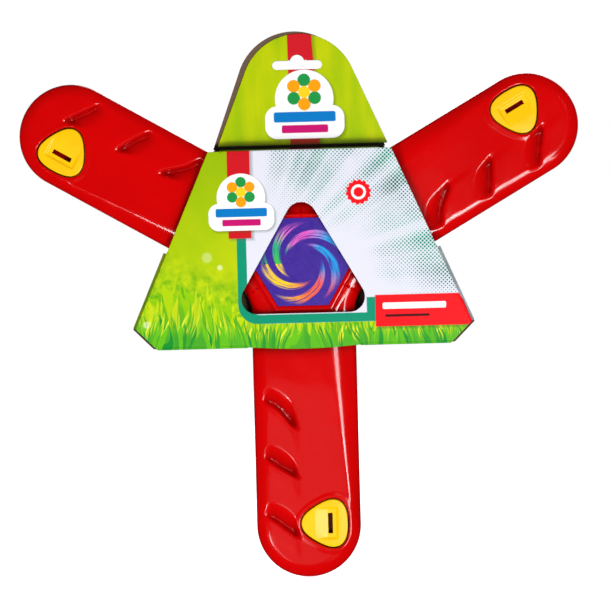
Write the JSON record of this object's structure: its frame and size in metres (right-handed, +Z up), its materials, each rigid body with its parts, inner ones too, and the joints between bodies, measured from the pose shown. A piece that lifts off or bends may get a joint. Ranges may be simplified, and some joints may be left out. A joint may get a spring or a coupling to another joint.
{
  "type": "tri-blade boomerang in a hanging card sleeve",
  "caption": "Tri-blade plastic boomerang with whistle caps, in a creased card hang sleeve with a triangular window.",
  "frame": {"origin": "on the hub's axis, on the rear face of the card's back panel", "axes": "+Z up towards the hang header, +Y to the rear out of the back panel, +X to the right as seen from the printed front"},
  "size_m": [0.3552, 0.0197, 0.3478],
  "materials": {
    "red_plastic": "glossy injection-moulded red plastic",
    "yellow_plastic": "satin yellow plastic",
    "hub_sticker": "glossy printed sticker",
    "printed_card": "printed card with a satin varnish over a kraft core",
    "kraft_card": "bare kraft board"
  },
  "bodies": {
    "boomerang": {"upper_shell": "red_plastic", "lower_shell": "red_plastic", "whistle_cap_lower": "yellow_plastic", "whistle_cap_right": "yellow_plastic", "whistle_cap_left": "yellow_plastic", "hub_label": "hub_sticker"},
    "card_back": {"back_panel": "kraft_card", "bottom_wall_left": "printed_card", "bottom_wall_right": "printed_card"},
    "card_front": {"front_panel": "printed_card"},
    "top_flap": {"top_wall": "printed_card"},
    "side_wall_left": {"side_wall_left": "printed_card"},
    "side_wall_right": {"side_wall_right": "printed_card"},
    "header": {"header_front_ply": "printed_card", "header_rear_ply": "kraft_card"}
  },
  "joints": [
    {"name": "sleeve_shift", "type": "slide", "parent": "boomerang", "child": "card_back", "axis": [0, 1, 0], "range_m": [0, 0.0015]},
    {"name": "front_open", "type": "hinge", "parent": "card_back", "child": "card_front", "pos_m": [0, -0.01845, -0.0534], "axis": [1, 0, 0], "range_deg": [0, 120]},
    {"name": "top_flap_fold", "type": "hinge", "parent": "card_front", "child": "top_flap", "pos_m": [0, -0.01845, 0.0706], "axis": [1, 0, 0], "range_deg": [0, 80]},
    {"name": "side_left_fold", "type": "hinge", "parent": "card_front", "child": "side_wall_left", "pos_m": [-0.08546, -0.01845, 0.007], "axis": [0.3976, 0, 0.9176], "range_deg": [0, 80]},
    {"name": "side_right_fold", "type": "hinge", "parent": "card_front", "child": "side_wall_right", "pos_m": [0.08546, -0.01845, 0.007], "axis": [0.3976, 0, -0.9176], "range_deg": [0, 80]},
    {"name": "header_fold", "type": "hinge", "parent": "card_back", "child": "header", "pos_m": [0, 0, 0.07305], "axis": [-1, 0, 0], "range_deg": [0, 90]}
  ]
}
